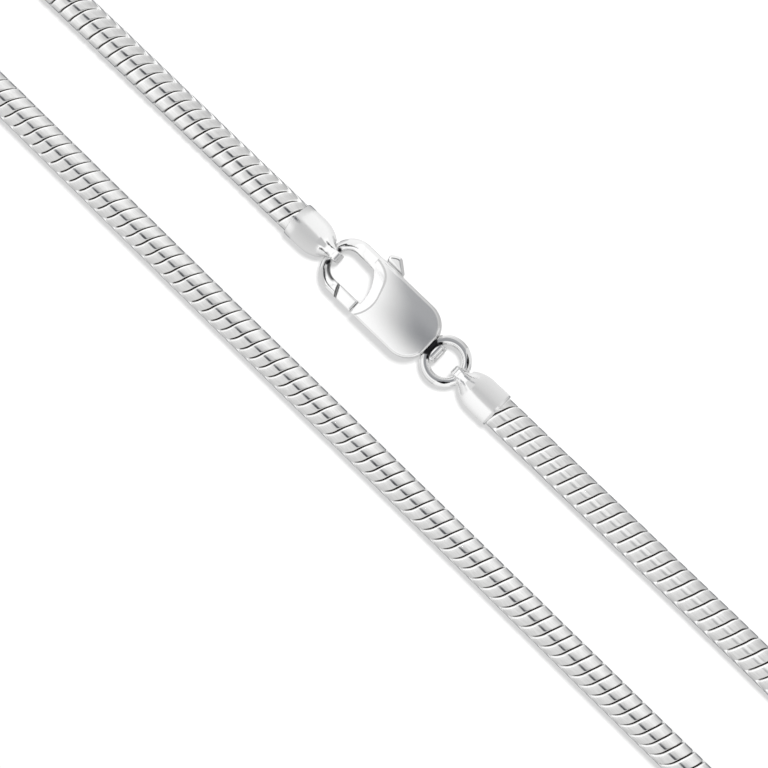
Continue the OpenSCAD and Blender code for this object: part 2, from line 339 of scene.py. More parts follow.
# %% [markdown]
# A dark stripe runs over every strand, where the camera itself is mirrored. White paper stands beside
# it: on the near side of the strand with the clasp, on the far side of the other, and right above the
# strand past the ring. Columns of the tables: place round the chain, in degrees from its top towards
# +Y, and the brightness there.

# %% Light round the strands
FAR_X = 70.0
sleeve_gap = 0.2
LOOK_HOOK_STRAND = np.array(
    [[-78, 0.45], [-70, 0.73], [-54, 0.81], [-46, 0.91], [-28, 0.95], [-20, 0.88], [-12, 0.82], [-4.5, 0.79]]
    + [[-3.6, 0.34], [2.6, 0.34], [3.8, 0.83], [18, 0.86], [40, 0.80], [55, 0.77], [68, 0.72], [78, 0.45]]
)
LOOK_RING_STRAND = np.array(
    [[-78, 0.45], [-68, 0.72], [-55, 0.79], [-40, 0.84], [-9, 0.85], [-6.5, 0.71]]
    + [[-3.5, 0.69], [-1, 0.77], [1, 0.92], [10, 0.92], [12, 0.77], [14, 0.77]]
    + [[17, 0.85], [30, 0.86], [42, 0.80], [68, 0.73], [78, 0.45]]
)
LOOK_BACK_STRAND = np.array(
    [[-78, 0.45], [-68, 0.73], [-55, 0.79], [-48, 0.81], [-25, 0.85], [-4, 0.84], [-3.2, 0.34], [3.2, 0.34]]
    + [[4.4, 0.76], [12, 0.80], [20, 0.89], [34, 0.94], [46, 0.90], [55, 0.83], [68, 0.75], [78, 0.45]]
)
LOOK_HOOK_CAP = np.array(
    [[-80, 0.74], [-60, 0.82], [-35, 0.79], [-10, 0.75], [5, 0.77], [10, 0.94], [45, 0.96], [70, 0.88]]
)
LOOK_RING_CAP = np.array(
    [[-80, 0.80], [-45, 0.95], [-14, 0.99], [-8, 0.78], [4, 0.75], [20, 0.81], [45, 0.86], [70, 0.88]]
)
sleeve_of_light("sleeve_hook_strand", -FAR_X, -rim_x, front_strand, LOOK_HOOK_STRAND)
sleeve_of_light("sleeve_ring_strand", rim_x, FAR_X, front_strand, LOOK_RING_STRAND)
sleeve_of_light("sleeve_back_strand", -FAR_X, FAR_X, back_strand, LOOK_BACK_STRAND)
sleeve_of_light("sleeve_hook_cap", -rim_x, -cap_tip_x - sleeve_gap, front_strand, LOOK_HOOK_CAP)
sleeve_of_light("sleeve_ring_cap", cap_tip_x + sleeve_gap, rim_x, front_strand, LOOK_RING_CAP)
print("sleeves of light run as far as x", FAR_X, "mm on both sides")

# %% [markdown]
# The clasp's domed face mirrors one wide white sheet with a grey cloud in it, which gives it its soft
# shade. The bevel and the hook's side are steep, so they mirror two white cards that stand upright.

# %% Light over the clasp
CANOPY_Z = 13.0
CANOPY_HALF = 12
CANOPY_STEPS = 41
CANOPY_SHIFT = (1.08, -0.6)
CANOPY_SPREAD = (1.57, 3.07)
CLOUD_DEPTH = 0.46


def clasp_canopy(name):
    """A white sheet with a grey cloud in it. u and v are the places on the domed face that mirror each
    point. The cloud deepens along the face towards its round end, is thinner on the far side, and dies
    away on the near side as a bell does."""
    across = np.linspace(-CANOPY_HALF, CANOPY_HALF, CANOPY_STEPS)
    x, y = [v.ravel() for v in np.meshgrid(across, across, indexing="ij")]
    u, v = (x + CANOPY_SHIFT[0]) / CANOPY_SPREAD[0], (y + CANOPY_SHIFT[1]) / CANOPY_SPREAD[1]
    far = np.clip(v, 0, 2.4)
    depth = (CLOUD_DEPTH - 0.10 * np.minimum(far, 1)) * np.clip((u + 2.6 + 0.8 * far) / (5.0 - far), 0, 1)
    looks = 1.0 - depth * np.exp(-((np.minimum(v, 0) / 1.7) ** 2))
    points = np.stack([x, strand_y + y, np.full(x.size, CANOPY_Z)], -1)
    return reflected_card(name, points, CANOPY_STEPS, CANOPY_STEPS, looks)


def upright_card(name, first, last, low, high, look):
    """A card that stands between two places in the plane, from height low to height high."""
    return small_card(name, [(*first, low), (*last, low), (*last, high), (*first, high)], look)


clasp_canopy("canopy_over_clasp")
bevel_card_x = -cap_tip_x - 0.3
bevel_card_ends = (bevel_card_x, strand_y - 4), (bevel_card_x, strand_y + 4)
side_card_ends = (-cap_tip_x - 2, strand_y + 5), (-cap_tip_x + 4, strand_y + 5)
upright_card("white_card_before_bevel", *bevel_card_ends, 3.6, 7.0, 1.0)
upright_card("white_card_beside_hook", *side_card_ends, 0.5, 7.0, 0.94)
print("the canopy hangs", CANOPY_Z, "mm above the floor")

# %% [markdown]
# The hook, the thumb tab and the ring are thin and rounded, and each shows a fine dark line along its
# top, where it mirrors something dark and narrow. So a narrow card, a ribbon, follows each of them just
# above it.

# %% Ribbon cards
def ribbon_card(name, line, widths, z, look):
    """A narrow card along a line in the plane, at a height above the strand's axis. widths: its half
    width at the start, in the middle and at the end."""
    line = np.array(line, float)
    half_width = np.interp(np.linspace(0, 2, len(line)), [0, 1, 2], widths)[:, None]
    step = np.gradient(line, axis=0)
    step /= np.linalg.norm(step, axis=1, keepdims=True)
    aside = half_width * np.stack([-step[:, 1], step[:, 0]], -1)
    flat = np.concatenate([line - aside, line + aside])
    points = np.column_stack([flat[:, 0], strand_y + flat[:, 1], np.full(len(flat), axis_z + z)])
    return reflected_card(name, points, 2, len(line), np.full(len(flat), look))


hook_tip_x = body_low[0]
ring_middle_x = (ring_low[0] + ring_high[0]) / 2
ring_path_r = (ring_high[0] - ring_low[0] - ring_high[2] + ring_low[2]) / 2
ARC_POINTS = 25


def by_the_hook(*places):
    """A line through places that are counted from the hook's tip."""
    return [(hook_tip_x + a, b) for a, b in places]


def by_the_ring(outside, first, last):
    """An arc round the ring from one angle to another, so far outside the middle of its wire."""
    turn = np.radians(np.linspace(first, last, ARC_POINTS))
    r = ring_path_r + outside
    return np.column_stack([ring_middle_x + r * np.cos(turn), r * np.sin(turn)])


print("the middle of the ring's wire is a circle of radius", round(ring_path_r, 2), "mm")


# %% [markdown]
# The ribbons' lines and widths follow the dark lines in the photograph. White cards over the bends of the
# two straps make their highlights, and grey ones beside them keep the straps' roots grey.

# %% Ribbons over the hook and the ring
hook_far_line = by_the_hook((0.0, 0.72), (0.1, 0.92), (0.35, 1.2), (0.8, 1.55), (1.35, 1.8))
hook_near_line = by_the_hook(
    (0.0, -0.92), (0.08, -1.2), (0.3, -1.6), (0.75, -2.05), (1.3, -2.35), (2.0, -2.5), (2.9, -2.5)
)
tab_line = by_the_hook((4.2, 3.2), (4.6, 3.55), (5.1, 3.7))
# Columns: name, line, half widths, height above the strand's axis and brightness
RIBBONS = [
    ("dark_ribbon_hook_far", hook_far_line, (0.20, 0.17, 0.03), 1.8, 0.12),
    ("dark_ribbon_hook_near", hook_near_line, (0.22, 0.19, 0.06), 1.8, 0.12),
    ("dark_ribbon_tab", tab_line, (0.08, 0.14, 0.12), 1.6, 0.35),
    ("grey_ribbon_ring", by_the_ring(0.0, 25, 335), (0.25, 0.25, 0.25), 2.0, 0.60),
    ("dark_ribbon_ring_far", by_the_ring(0.7, 20, 64), (0.05, 0.75, 0.05), 1.3, 0.05),
    ("dark_ribbon_ring_near", by_the_ring(0.2, -72, -34), (0.05, 0.55, 0.05), 1.3, 0.10),
]
for ribbon in RIBBONS:
    ribbon_card(*ribbon)

STRAP_CARD_Z = 1.9
STRAP_CARD_HALF_WIDTH = 0.5
# Columns: name, middle, half length and brightness
STRAP_CARDS = [
    ("white_card_hook_strap", hook_tip_x + 0.62, 0.50, 1.0),
    ("white_card_ring_strap", cap_tip_x + 0.56, 0.50, 1.0),
    ("grey_card_hook_root", hook_tip_x - 0.50, 0.60, 0.74),
    ("grey_card_ring_root", cap_tip_x + 1.68, 0.60, 0.84),
]
SQUARE = ((-1, -1), (1, -1), (1, 1), (-1, 1))
for name, x, half, look in STRAP_CARDS:
    flat = [(x + a * half, strand_y + b * STRAP_CARD_HALF_WIDTH, axis_z + STRAP_CARD_Z) for a, b in SQUARE]
    small_card(name, flat, look)
print(card_light.users, "cards of light")

# %% [markdown]
# A tube is a row of rings of points. Its rings close on themselves, and a fan of triangles closes each
# end.

# %% Tubes
def new_piece(name, points, quads, triangles=None, values=None):
    """Makes a piece of the necklace, and prints its size."""
    piece = new_object(name, points, quads, triangles, values)
    print(name, "has", 2 * len(quads) + (0 if triangles is None else len(triangles)), "triangles")
    return piece


def tube_faces(rows, around):
    """Quads between a tube's rows, which close on themselves, and the fans that close both ends."""
    a = np.arange(rows - 1)[:, None] * around + np.arange(around)
    b = np.arange(rows - 1)[:, None] * around + (np.arange(around) + 1) % around
    quads = np.stack([a, b, b + around, a + around], -1).reshape(-1, 4)
    k = np.arange(around)
    first, last = rows * around, rows * around + 1
    end = (rows - 1) * around
    start_fan = np.stack([np.full(around, first), (k + 1) % around, k], -1)
    end_fan = np.stack([np.full(around, last), end + k, end + (k + 1) % around], -1)
    return quads, np.concatenate([start_fan, end_fan])


# %% [markdown]
# The chain's line is the construction's own route: out of the cap on the ring's side, along the strand,
# round a wide bend, back along the other strand and round again into the cap on the hook's side. The
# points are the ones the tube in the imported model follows, joined by the same smooth curve.

# %% The chain's line
ROUTE_OUT = np.array([[24, 5.3], [40, 5.3], [56, 5.3]])
ROUTE_BEND = np.array([[65, 6.4], [73.6, 10.3], [81.8, 15.2], [91.6, 15.2], [99.6, 9.4]])
ROUTE_TIP = np.array([[102.7, 0]])
ROUTE_BACK = np.array(
    [[56, -5.66], [40, -5.56], [24, -5.45], [8, -5.35]]
    + [[-8, -5.25], [-24, -5.15], [-40, -5.04], [-56, -4.94]]
)
LINE_STEP = 0.02
SPAN_STEPS = 200
# How far along the line its bends are evened out, to each side
BEND_BLUR = 4.0
# How far the line keeps the cap's height past the rim, over what length it then sinks to the surface,
# and how much of the socket it leaves free
level_len = 0.6
sink_len = 8.0
socket_spare = 0.2


def smooth_through(points, per_span):
    """Between two points runs a cubic whose slope at a point is half the step between its neighbours."""
    padded = np.concatenate([[2 * points[0] - points[1]], points, [2 * points[-1] - points[-2]]])
    a, b, c, d = (padded[i : len(padded) - 3 + i, None] for i in range(4))
    t = (np.arange(per_span) / per_span)[None, :, None]
    curve = 0.5 * (2 * b + (c - a) * t + (2 * a - 5 * b + 4 * c - d) * t**2 + (3 * b - a - 3 * c + d) * t**3)
    return np.concatenate([curve.reshape(-1, 2), points[-1:]])


def chain_line():
    """Places along the chain's middle line: distance from its start, then x, y and z at that distance."""
    flip_x, flip_y = np.array([-1, 1]), np.array([1, -1])
    loop_end = np.concatenate([ROUTE_BEND, ROUTE_TIP, (ROUTE_BEND * flip_y)[::-1]])
    level_x = rim_x + level_len
    strand_out = np.concatenate([[[level_x, strand_y]], ROUTE_OUT])
    route = np.concatenate(
        [strand_out, loop_end, ROUTE_BACK, (loop_end * flip_x)[::-1], (strand_out * flip_x)[::-1]]
    )
    curve = smooth_through(route, SPAN_STEPS)
    seat_x = rim_x - socket_depth + socket_spare
    curve = np.concatenate([[[seat_x, strand_y]], curve, [[-seat_x, strand_y]]])
    walked = np.concatenate([[0], np.cumsum(np.linalg.norm(np.diff(curve, axis=0), axis=1))])
    even = np.arange(0, walked[-1], LINE_STEP)
    x, y = (np.interp(even, walked, curve[:, i]) for i in range(2))
    reach = int(BEND_BLUR / LINE_STEP)
    bell = np.hanning(2 * reach + 1)
    before, after = x[0] - LINE_STEP * np.arange(reach, 0, -1), x[-1] + LINE_STEP * np.arange(1, reach + 1)
    pad_x = np.concatenate([before, x, after])
    pad_y = np.pad(y, reach, mode="edge")
    x, y = (np.convolve(v, bell / bell.sum(), mode="valid") for v in (pad_x, pad_y))
    lift = np.clip(1 - (np.abs(x) - level_x) / sink_len, 0, 1) * (y > 0) * (axis_z - chain_r)
    return even, np.stack([x, y, chain_r + lift], -1)


line_s, line_p = chain_line()
chain_length = line_s[-1]
print("the chain is", round(chain_length, 1), "mm long")

# %% [markdown]
# A snake chain is a row of thin wavy rings, each locked into the next. What shows of a ring is a
# slanting band: its edge climbs one band's width round the front, then falls back steeply at the side,
# twice round the chain. Each ring could be modelled whole, but only its band shows, so all the bands
# are one surface here: a circle carried along the line, whose radius dips at every edge. The grid
# itself slants with the edges, so that no groove is cut across by the mesh.

# %% The bands' edges
pitch = 1.185
AROUND = 40
# Columns: distance from a band's edge, and how far the skin lies below the chain's radius there: in the
# groove, over the steep lip and on the flat of the band
EDGE_PROFILE = np.array(
    [[0, 0.20], [0.03, 0.18], [0.06, 0.115], [0.09, 0.07], [0.13, 0.012], [0.18, 0.002], [0.25, 0]]
)
# Columns: angle round the chain from the middle of the steep fall, in degrees, and how far the edge
# lies ahead there, in bands
EDGE_CLIMB = np.array(
    [[0, 0.09], [12, -0.57], [28, -0.47], [63, -0.25], [90, -0.03]]
    + [[115, 0.13], [130, 0.26], [152, 0.53], [166, 0.75], [180, 0.09]]
)
# Columns: share of the chain's length, and where round the chain the fall lies there, in degrees
FALL_PLACE = np.array([[0.0, 105.0], [0.12, 105.0], [0.38, 78.0], [1.0, 78.0]])
rows_a_band = 2 * len(EDGE_PROFILE)
print("a band has", rows_a_band, "rows of", AROUND, "points")


def fade_in(value, width):
    """0 where the value is below 0, 1 from the width on, and an even climb between."""
    return np.clip(value / width, 0, 1)


def edge_climb(angle):
    """How far an edge lies ahead, in bands: the table, which repeats twice in a turn, evened out over
    12 degrees."""
    blurred = angle[None, ...] + np.linspace(-6, 6, 9).reshape((9,) + (1,) * angle.ndim)
    return np.interp(blurred % 180, EDGE_CLIMB[:, 0], EDGE_CLIMB[:, 1]).mean(0)


def band_rows(first_band, last_band, edges):
    """For each row of points: its band, its place along the chain before the edge climbs, and its
    distance from the nearer edge. The rows lie close at the edges and far apart on the flat."""
    shares = np.concatenate([EDGE_PROFILE[:, 0] / pitch, [0.5], 1 - EDGE_PROFILE[:0:-1, 0] / pitch])
    band = np.repeat(np.arange(first_band, last_band), len(shares))
    share = np.tile(shares, last_band - first_band)
    band = np.append(band, last_band - 1)
    share = np.append(share, 1.0)
    base = edges[band] + (edges[band + 1] - edges[band]) * share
    return band, base, np.minimum(share, 1 - share) * pitch


# %% [markdown]
# Two things are painted on the bands for the silver to read. The grooves keep a dark film, partly
# tarnish and partly painted shade, but not where the edge falls. Painted highlights stand in white along
# the edge on one side of each band, and as a small painted glint where the edge begins to fall.

# %% Paint for the bands: groove film and painted highlights
# How white the painted highlights are, on the lip and at the glint
LIP_LIGHT = 0.38
GLINT_LIGHT = 0.70


def band_paint(off_edge, from_fall, from_top, highlight_side):
    """Film with painted shade in the grooves, and painted highlights, from 0 to 1. off_edge and
    highlight_side go by rows: millimetres from the nearer edge, and whether that edge carries the painted
    highlight. from_fall is in degrees from the nearer fall, from_top from the top."""
    film_and_shade = fade_in(0.068 - off_edge, 0.03) * fade_in(from_fall - 17, 8)
    lip_highlight = fade_in(0.27 - off_edge, 0.08) * fade_in(off_edge - 0.06, 0.03) * highlight_side
    glint = fade_in(0.24 - off_edge, 0.08) * np.clip(1.4 - np.abs(from_fall - 13) / 4.5, 0, 1)
    glint = glint * fade_in(80 - from_top, 4)
    return film_and_shade, np.maximum(LIP_LIGHT * lip_highlight, GLINT_LIGHT * glint)


print("0.05 mm beside an edge the film is down to", round(band_paint(0.05, 45.0, 45.0, True)[0], 2))


# %% [markdown]
# A row of points is a circle across the line, so each point needs its place on the line and the two
# directions across it. The edge's climb moves the point along the line before its place is looked up,
# so the slanting bands follow the line through its bends.

# %% One piece of the chain
# The stretch at both ends of the chain over which its edges stop climbing, hidden in the sockets
END_LEN = 1.2
SLOPE_REACH = 0.05


def along_line(s):
    """At each length s: the place on the line, the level direction ahead, and the one to the left of it."""
    place, ahead, behind = [
        np.stack([np.interp(s + step, line_s, line_p[:, i]) for i in range(3)], -1)
        for step in (0, SLOPE_REACH, -SLOPE_REACH)
    ]
    heading = ahead - behind
    heading[..., 2] = 0
    heading /= np.linalg.norm(heading, axis=-1, keepdims=True)
    left = np.stack([-heading[..., 1], heading[..., 0], np.zeros(s.shape)], -1)
    return place, heading, left


def chain_piece(name, first_band, last_band, edges, dents):
    """Each row is a circle whose radius dips at the edges, and which is sheared along the line as they
    climb."""
    band, base, off_edge = band_rows(first_band, last_band, edges)
    off_edge = off_edge[:, None]
    turn = 2 * np.pi * np.arange(AROUND) / AROUND
    fade = fade_in(np.minimum(base, chain_length - base), END_LEN)[:, None]
    fall = np.interp(base / chain_length, FALL_PLACE[:, 0], FALL_PLACE[:, 1])[:, None]
    climb = edge_climb(np.degrees(turn) - fall)
    s = base[:, None] + pitch * climb * fade
    place, heading, left = along_line(s)
    dent = dents[band, 0][:, None] * fade_in(off_edge, 0.2) * np.sin(2 * turn + dents[band, 1][:, None])
    radius = chain_r - np.interp(off_edge, *EDGE_PROFILE.T) + dent
    up = np.array([0, 0, 1.0])
    out = left * np.sin(turn)[:, None] + up * np.cos(turn)[:, None]
    points = place + out * radius[..., None]
    ends = np.stack([place[0].mean(0), place[-1].mean(0)])
    quads, fans = tube_faces(len(base), AROUND)
    from_fall = np.abs((np.degrees(turn) - fall + 90) % 180 - 90)
    from_top = np.abs((np.degrees(turn) + 180) % 360 - 180)
    first_edge = np.arange(len(base)) % rows_a_band <= len(EDGE_PROFILE)
    # The painted highlight goes on the edge of each band that lies towards -X
    highlight_side = (heading[:, :1, 0] > 0) == first_edge[:, None]
    film_and_shade, bright = band_paint(off_edge, from_fall, from_top, highlight_side)
    values = {key: np.append(value.ravel(), [1, 1]) for key, value in (("groove", film_and_shade), ("bright", bright))}
    return new_piece(name, np.concatenate([points.reshape(-1, 3), ends]), quads, fans, values)


print("half way along the chain, its line is at", along_line(np.array(chain_length / 2))[0].round(1))


# %% [markdown]
# The chain is made in three pieces, because one surface of all the bands would be too heavy a mesh. No
# two bands of a real chain are quite alike, so each edge is a little off its place, and each band a
# little out of round.

# %% Bands
BAND_SEED = 7
EDGE_WOBBLE = 0.02
OUT_OF_ROUND = 0.012
bands = int(round(chain_length / pitch))
chance = np.random.default_rng(BAND_SEED)
wobble = chance.normal(0, EDGE_WOBBLE, bands + 1)
count = np.arange(bands + 1)
band_edges = (count + np.where(count % bands > 0, wobble, 0)) * chain_length / bands
# Columns: how far a band is out of round, in millimetres, and in which direction
band_dents = np.stack([chance.normal(0, OUT_OF_ROUND, bands), chance.uniform(0, 2 * np.pi, bands)], -1)
band_splits = [0, bands // 3, 2 * bands // 3, bands]
chain_pieces = [
    chain_piece(f"chain_bands_{i + 1}", band_splits[i], band_splits[i + 1], band_edges, band_dents)
    for i in range(3)
]
print(bands, "bands")

# %% [markdown]
# The cast pieces have no simple grid: the clasp is a cushion with an eye, a bevel, a slit and a slot.
# Solids could be joined and cut with modifiers, but the edges they leave are sharp, and hard to bevel
# where several meet. So each piece is described by a field, a function that is negative inside the
# metal and grows with the distance from its skin. Two fields are joined or cut with a small radius, as
# a file and a polishing wheel leave the edges.


# %% Fields
def rounded_both(a, b, r):
    """What lies in both a and b, with the edge between their skins rounded off to radius r."""
    return np.minimum(np.maximum(a + r, b + r), 0) + np.hypot(np.maximum(a + r, 0), np.maximum(b + r, 0)) - r


def rounded_either(a, b, r):
    """What lies in a or b, with a hollow of radius r where their skins meet."""
    return -rounded_both(-a, -b, r)


def rounded_less(a, b, r):
    """What lies in a and not in b, with the new edge rounded off to radius r."""
    return rounded_both(a, -b, r)


def box_field(x, y, x0, x1, y0, y1, r):
    """Distance from a rectangle in a plane whose corners have radius r."""
    qx = np.abs(x - (x0 + x1) / 2) - (x1 - x0) / 2 + r
    qy = np.abs(y - (y0 + y1) / 2) - (y1 - y0) / 2 + r
    return np.minimum(np.maximum(qx, qy), 0) + np.hypot(np.maximum(qx, 0), np.maximum(qy, 0)) - r


def circle_field(x, y, middle, r):
    """Distance from a circle in a plane."""
    return np.hypot(x - middle[0], y - middle[1]) - r


def polygon_field(x, y, corners):
    """Distance from the nearest side of a polygon, negative where a ray along X crosses an odd number
    of sides."""
    nearest = np.full(x.shape, np.inf)
    inside = np.zeros(x.shape, bool)
    for (ax, ay), (bx, by) in zip(corners, corners[1:] + corners[:1]):
        ex, ey = bx - ax, by - ay
        share = np.clip(((x - ax) * ex + (y - ay) * ey) / (ex * ex + ey * ey), 0, 1)
        nearest = np.minimum(nearest, np.hypot(x - ax - ex * share, y - ay - ey * share))
        if ey:
            inside ^= ((ay > y) != (by > y)) & (x < ax + ex * (y - ay) / ey)
    return np.where(inside, -nearest, nearest)


print("1 mm outside a circle of radius 2, its field is", circle_field(3.0, 0.0, (0.0, 0.0), 2.0), "mm")

# %% [markdown]
# A field becomes a mesh in three moves. It is worked out on a fine lattice of points, and every cell of
# the lattice that the skin passes through gets one point. Each move is tried first on a small ball,
# because its skin is easy to check.


# %% Points of the net
def cell_slices(shape, axis, step):
    """Slices of a lattice: one corner of every cell, and the corner that comes next along the axis."""
    near = tuple(slice(s, n - 1 + s) for s, n in zip(step, shape))
    far = tuple(slice(s + (i == axis), n - 1 + s + (i == axis)) for i, (s, n) in enumerate(zip(step, shape)))
    return near, far


def net_points(values, low, step):
    """In each cell that the skin crosses, the mean of the places where it crosses the cell's edges."""
    cells = tuple(n - 1 for n in values.shape)
    total = np.zeros(cells + (3,))
    count = np.zeros(cells)
    for axis in range(3):
        others = [i for i in range(3) if i != axis]
        for pair in ((0, 0), (0, 1), (1, 0), (1, 1)):
            corner = [0, 0, 0]
            corner[others[0]], corner[others[1]] = pair
            near, far = cell_slices(values.shape, axis, corner)
            a, b = values[near], values[far]
            crossed = (a < 0) != (b < 0)
            share = np.where(crossed, a / np.where(crossed, a - b, 1), 0)
            for i in range(3):
                total[..., i] += crossed * (share if i == axis else corner[i])
            count += crossed
    used = count > 0
    index = np.full(cells, -1)
    index[used] = np.arange(used.sum())
    points = low + step * (np.argwhere(used) + total[used] / count[used][:, None])
    return points, index


BALL_R = 2.5


def ball_field(x, y, z):
    """Distance from a ball round the origin."""
    return np.sqrt(x**2 + y**2 + z**2) - BALL_R


ball_axis = np.arange(-4.0, 5.0)
ball = ball_field(*np.meshgrid(ball_axis, ball_axis, ball_axis, indexing="ij"))
ball_points, ball_index = net_points(ball, np.full(3, ball_axis[0]), 1.0)
print("a ball on a lattice of", ball.size, "points gets", len(ball_points), "points round its skin")


# %% [markdown]
# Next the points are joined. Four cells of the lattice share an edge, and where the skin crosses that
# edge, their four points make a face. A closed net of quads round a ball has two faces fewer than
# points, which tells that no face is missing.

# %% Faces of the net
def net_faces(values, index):
    """Round every lattice edge that the skin crosses, a quad of the four cells that share it, facing
    outwards."""
    inside = values < 0
    faces = []
    for axis in range(3):
        j, k = [(axis + 1) % 3, (axis + 2) % 3]
        low = [slice(1, -1)] * 3
        high = [slice(1, -1)] * 3
        low[axis], high[axis] = slice(0, -1), slice(1, None)
        a, b = inside[tuple(low)], inside[tuple(high)]
        at = np.argwhere(a != b)
        leaves = a[tuple(at.T)]
        at[:, j] += 1
        at[:, k] += 1
        ring = []
        for dj, dk in ((1, 1), (0, 1), (0, 0), (1, 0)):
            cell = at.copy()
            cell[:, j] -= dj
            cell[:, k] -= dk
            ring.append(index[tuple(cell.T)])
        ring = np.stack(ring, -1)
        faces.append(np.where(leaves[:, None], ring, ring[:, ::-1]))
    return np.concatenate(faces)


print("the ball's", len(ball_points), "points carry", len(net_faces(ball, ball_index)), "faces")


# %% [markdown]
# At last each point is walked along the field's own slope until it lies on the skin itself, so that
# flat faces are flat and the softened edges are smooth.

# %% From field to mesh
def onto_skin(points, field, step):
    """Moves each point along the field's slope by the field's value over the slope, three times."""
    reach = step / 8
    for _ in range(3):
        value = field(*points.T)
        rise = [field(*(points + reach * e).T) - field(*(points - reach * e).T) for e in np.eye(3)]
        slope = np.stack(rise, -1) / (2 * reach)
        size = np.maximum((slope**2).sum(-1), 0.2)
        move = slope * (value / size)[:, None]
        length = np.maximum(np.linalg.norm(move, axis=-1, keepdims=True), 1e-9)
        points = points - move * np.minimum(1, step / 2 / length)
    return points


def cast_piece(name, field, box, step, place, values=None):
    """Makes a piece from its field in its own box, on a lattice of that step, and sets it down with
    place."""
    axes = [np.arange(a - 2 * step, b + 3 * step, step) for a, b in zip(*box)]
    lattice = field(*np.meshgrid(*axes, indexing="ij"))
    points, index = net_points(lattice, np.array([a[0] for a in axes]), step)
    quads = net_faces(lattice, index)
    points = onto_skin(points, field, step)
    painted = {key: paint(*points.T) for key, paint in (values or {}).items()}
    return new_piece(name, place(points), quads, None, painted)


ball_off = np.abs(ball_field(*onto_skin(ball_points, ball_field, 1.0).T)).max()
print(f"walked to its skin, the ball's points lie within {ball_off:.0e} mm of it")


# %% [markdown]
# The clasp is a lobster clasp: a cushion-shaped body, a hook that is open at one side, and a tail for
# the jump ring. The eye of the hook is straight along both arms and bowed against the body, where a
# broad bevel runs.

# %% Clasp sizes
# The body and its dome
clasp_len = 12.2
clasp_w = 5.4
clasp_t = 3.2
corner_r = 2.25
crown_r = 11.0
long_crown_r = 40.0
# The hook, the eye and the bevel
hook_t = 1.9
hook_tip_t = 1.2
hook_wire = 0.8
arm_w = 1.3
eye_corner_r = 1.2
mouth_r = 3.7
bevel_w = 1.0
bevel_flare = 0.22
# The tail and its waist
tail_w = 1.76
tail_t = 2.2
tail_len = 1.27
waist_len = 0.24
waist_in = 0.20
waist_down = 0.22
# The gate, the plate, the tab, the slot and the pin
slit_r = 4.51
slit_w = 0.12
gate_w = 1.15
gate_t = 1.6
plate_t = 0.9
tab_t = 1.3
slot_t = 1.0
pin_r = 0.40
pin_clear = 0.04
plate_ring = 0.7
# The jump ring
ring_wire = ring_high[2] - ring_low[2]
ring_r = (ring_high[1] - ring_low[1] - ring_wire) / 2
ring_clear = 0.12
# Places in the clasp's own frame
hook_x = -7.75
end_x = hook_x + clasp_len
half_w = clasp_w / 2
pivot = (hook_x + 7.0, -0.15)
bow = (hook_x + 1.55, -1.3)
dome_x = end_x - 4.0
step_x = hook_x + 3.87
waist_x = end_x + 0.36
opening_x = hook_x + hook_wire
opening_top = half_w - arm_w
opening_bottom = -half_w + gate_w
gate_root_x = hook_x + 5.0
ring_x = end_x + ring_r
clasp_shift = body_low[0] - hook_x
print("the clasp's origin is at x", round(clasp_shift, 3), "mm")


def on_strand(points):
    """From the clasp's own origin to its place on the strand."""
    return points + np.array([clasp_shift, strand_y, axis_z])


# %% [markdown]
# Seen from above, the clasp is a rectangle with round corners. What is cut out of it are the eye, the
# space for the gate, which swings in along a circle round the pin, and the slot for the plate inside
# the body.

# %% The clasp from above
def clasp_outline(x, y):
    """A rectangle with round corners."""
    return box_field(x, y, hook_x, end_x, -half_w, half_w, corner_r)


def opening_field(x, y):
    """The eye: a rectangle with round corners, cut by a circle on the body's side."""
    flat = box_field(x, y, opening_x, dome_x, opening_bottom, opening_top, eye_corner_r)
    return np.maximum(flat, circle_field(x, y, bow, mouth_r))


def gate_space(x, y):
    """A rectangle over the gate's side, cut by the circle along which the gate swings."""
    flat = box_field(x, y, hook_x - 1, gate_root_x + 0.12, -half_w - 1, opening_bottom + 0.05, 0)
    return np.maximum(flat, circle_field(x, y, pivot, slit_r + slit_w / 2))


def slot_space(x, y):
    """A polygon from the tab's side, past the pin, to the gate's root."""
    corners = [
        (step_x, half_w + 0.5),
        (pivot[0] + 1.45, half_w + 0.5),
        (pivot[0] + 1.29, pivot[1]),
        (pivot[0] + 0.9, pivot[1] - 1.15),
        (pivot[0] - 0.8, opening_bottom - 0.7),
        (gate_root_x - 1, opening_bottom - 0.7),
        (gate_root_x - 1, opening_bottom),
        (step_x, opening_top),
    ]
    return polygon_field(x, y, corners)


print("the clasp's eye is", round(opening_top - opening_bottom, 2), "mm wide")


# %% [markdown]
# Seen from the side, the body is domed and much thicker than the hook, and the bevel leads down from
# its faces to the eye. The tail has a narrow waist where the ring passes.

# %% The clasp from the side
def dome_height(x, y):
    """Half the body's thickness: a long arch of radius long_crown_r, with one of radius crown_r across
    it."""
    spine = crown_r - long_crown_r + np.sqrt(long_crown_r**2 - (x - dome_x) ** 2)
    return clasp_t / 2 - crown_r + np.sqrt(np.maximum(spine**2 - y**2, 0.01))


def hook_height(x):
    """Half the hook's thickness: thin where the cap's loop goes round it, then thicker towards the body."""
    return np.interp(x, [opening_x, step_x], [hook_tip_t / 2, hook_t / 2])


def bevel_field(x, y, up):
    """A cone round the eye, which is wider the higher it lies, and widest beside the hook's arm."""
    share = (up - hook_t / 2) / (clasp_t / 2 - hook_t / 2)
    wide = bevel_w + bevel_flare * np.maximum(y, 0) ** 2
    return (mouth_r + 0.1 + share * wide - np.hypot(x - bow[0], y - bow[1])) * 0.6


def ring_field(x, y, z, wire_r):
    """Distance from a ring of wire: first from the circle in its middle, then from the wire's skin."""
    return np.hypot(np.hypot(x - ring_x, y) - ring_r, z) - wire_r


def waist(x):
    """1 at the tail's waist, and less on both sides as a bell."""
    return np.exp(-(((x - waist_x) / waist_len) ** 2))


print("the clasp's body is", round(2 * dome_height(dome_x, 0.0), 2), "mm thick at its crown")


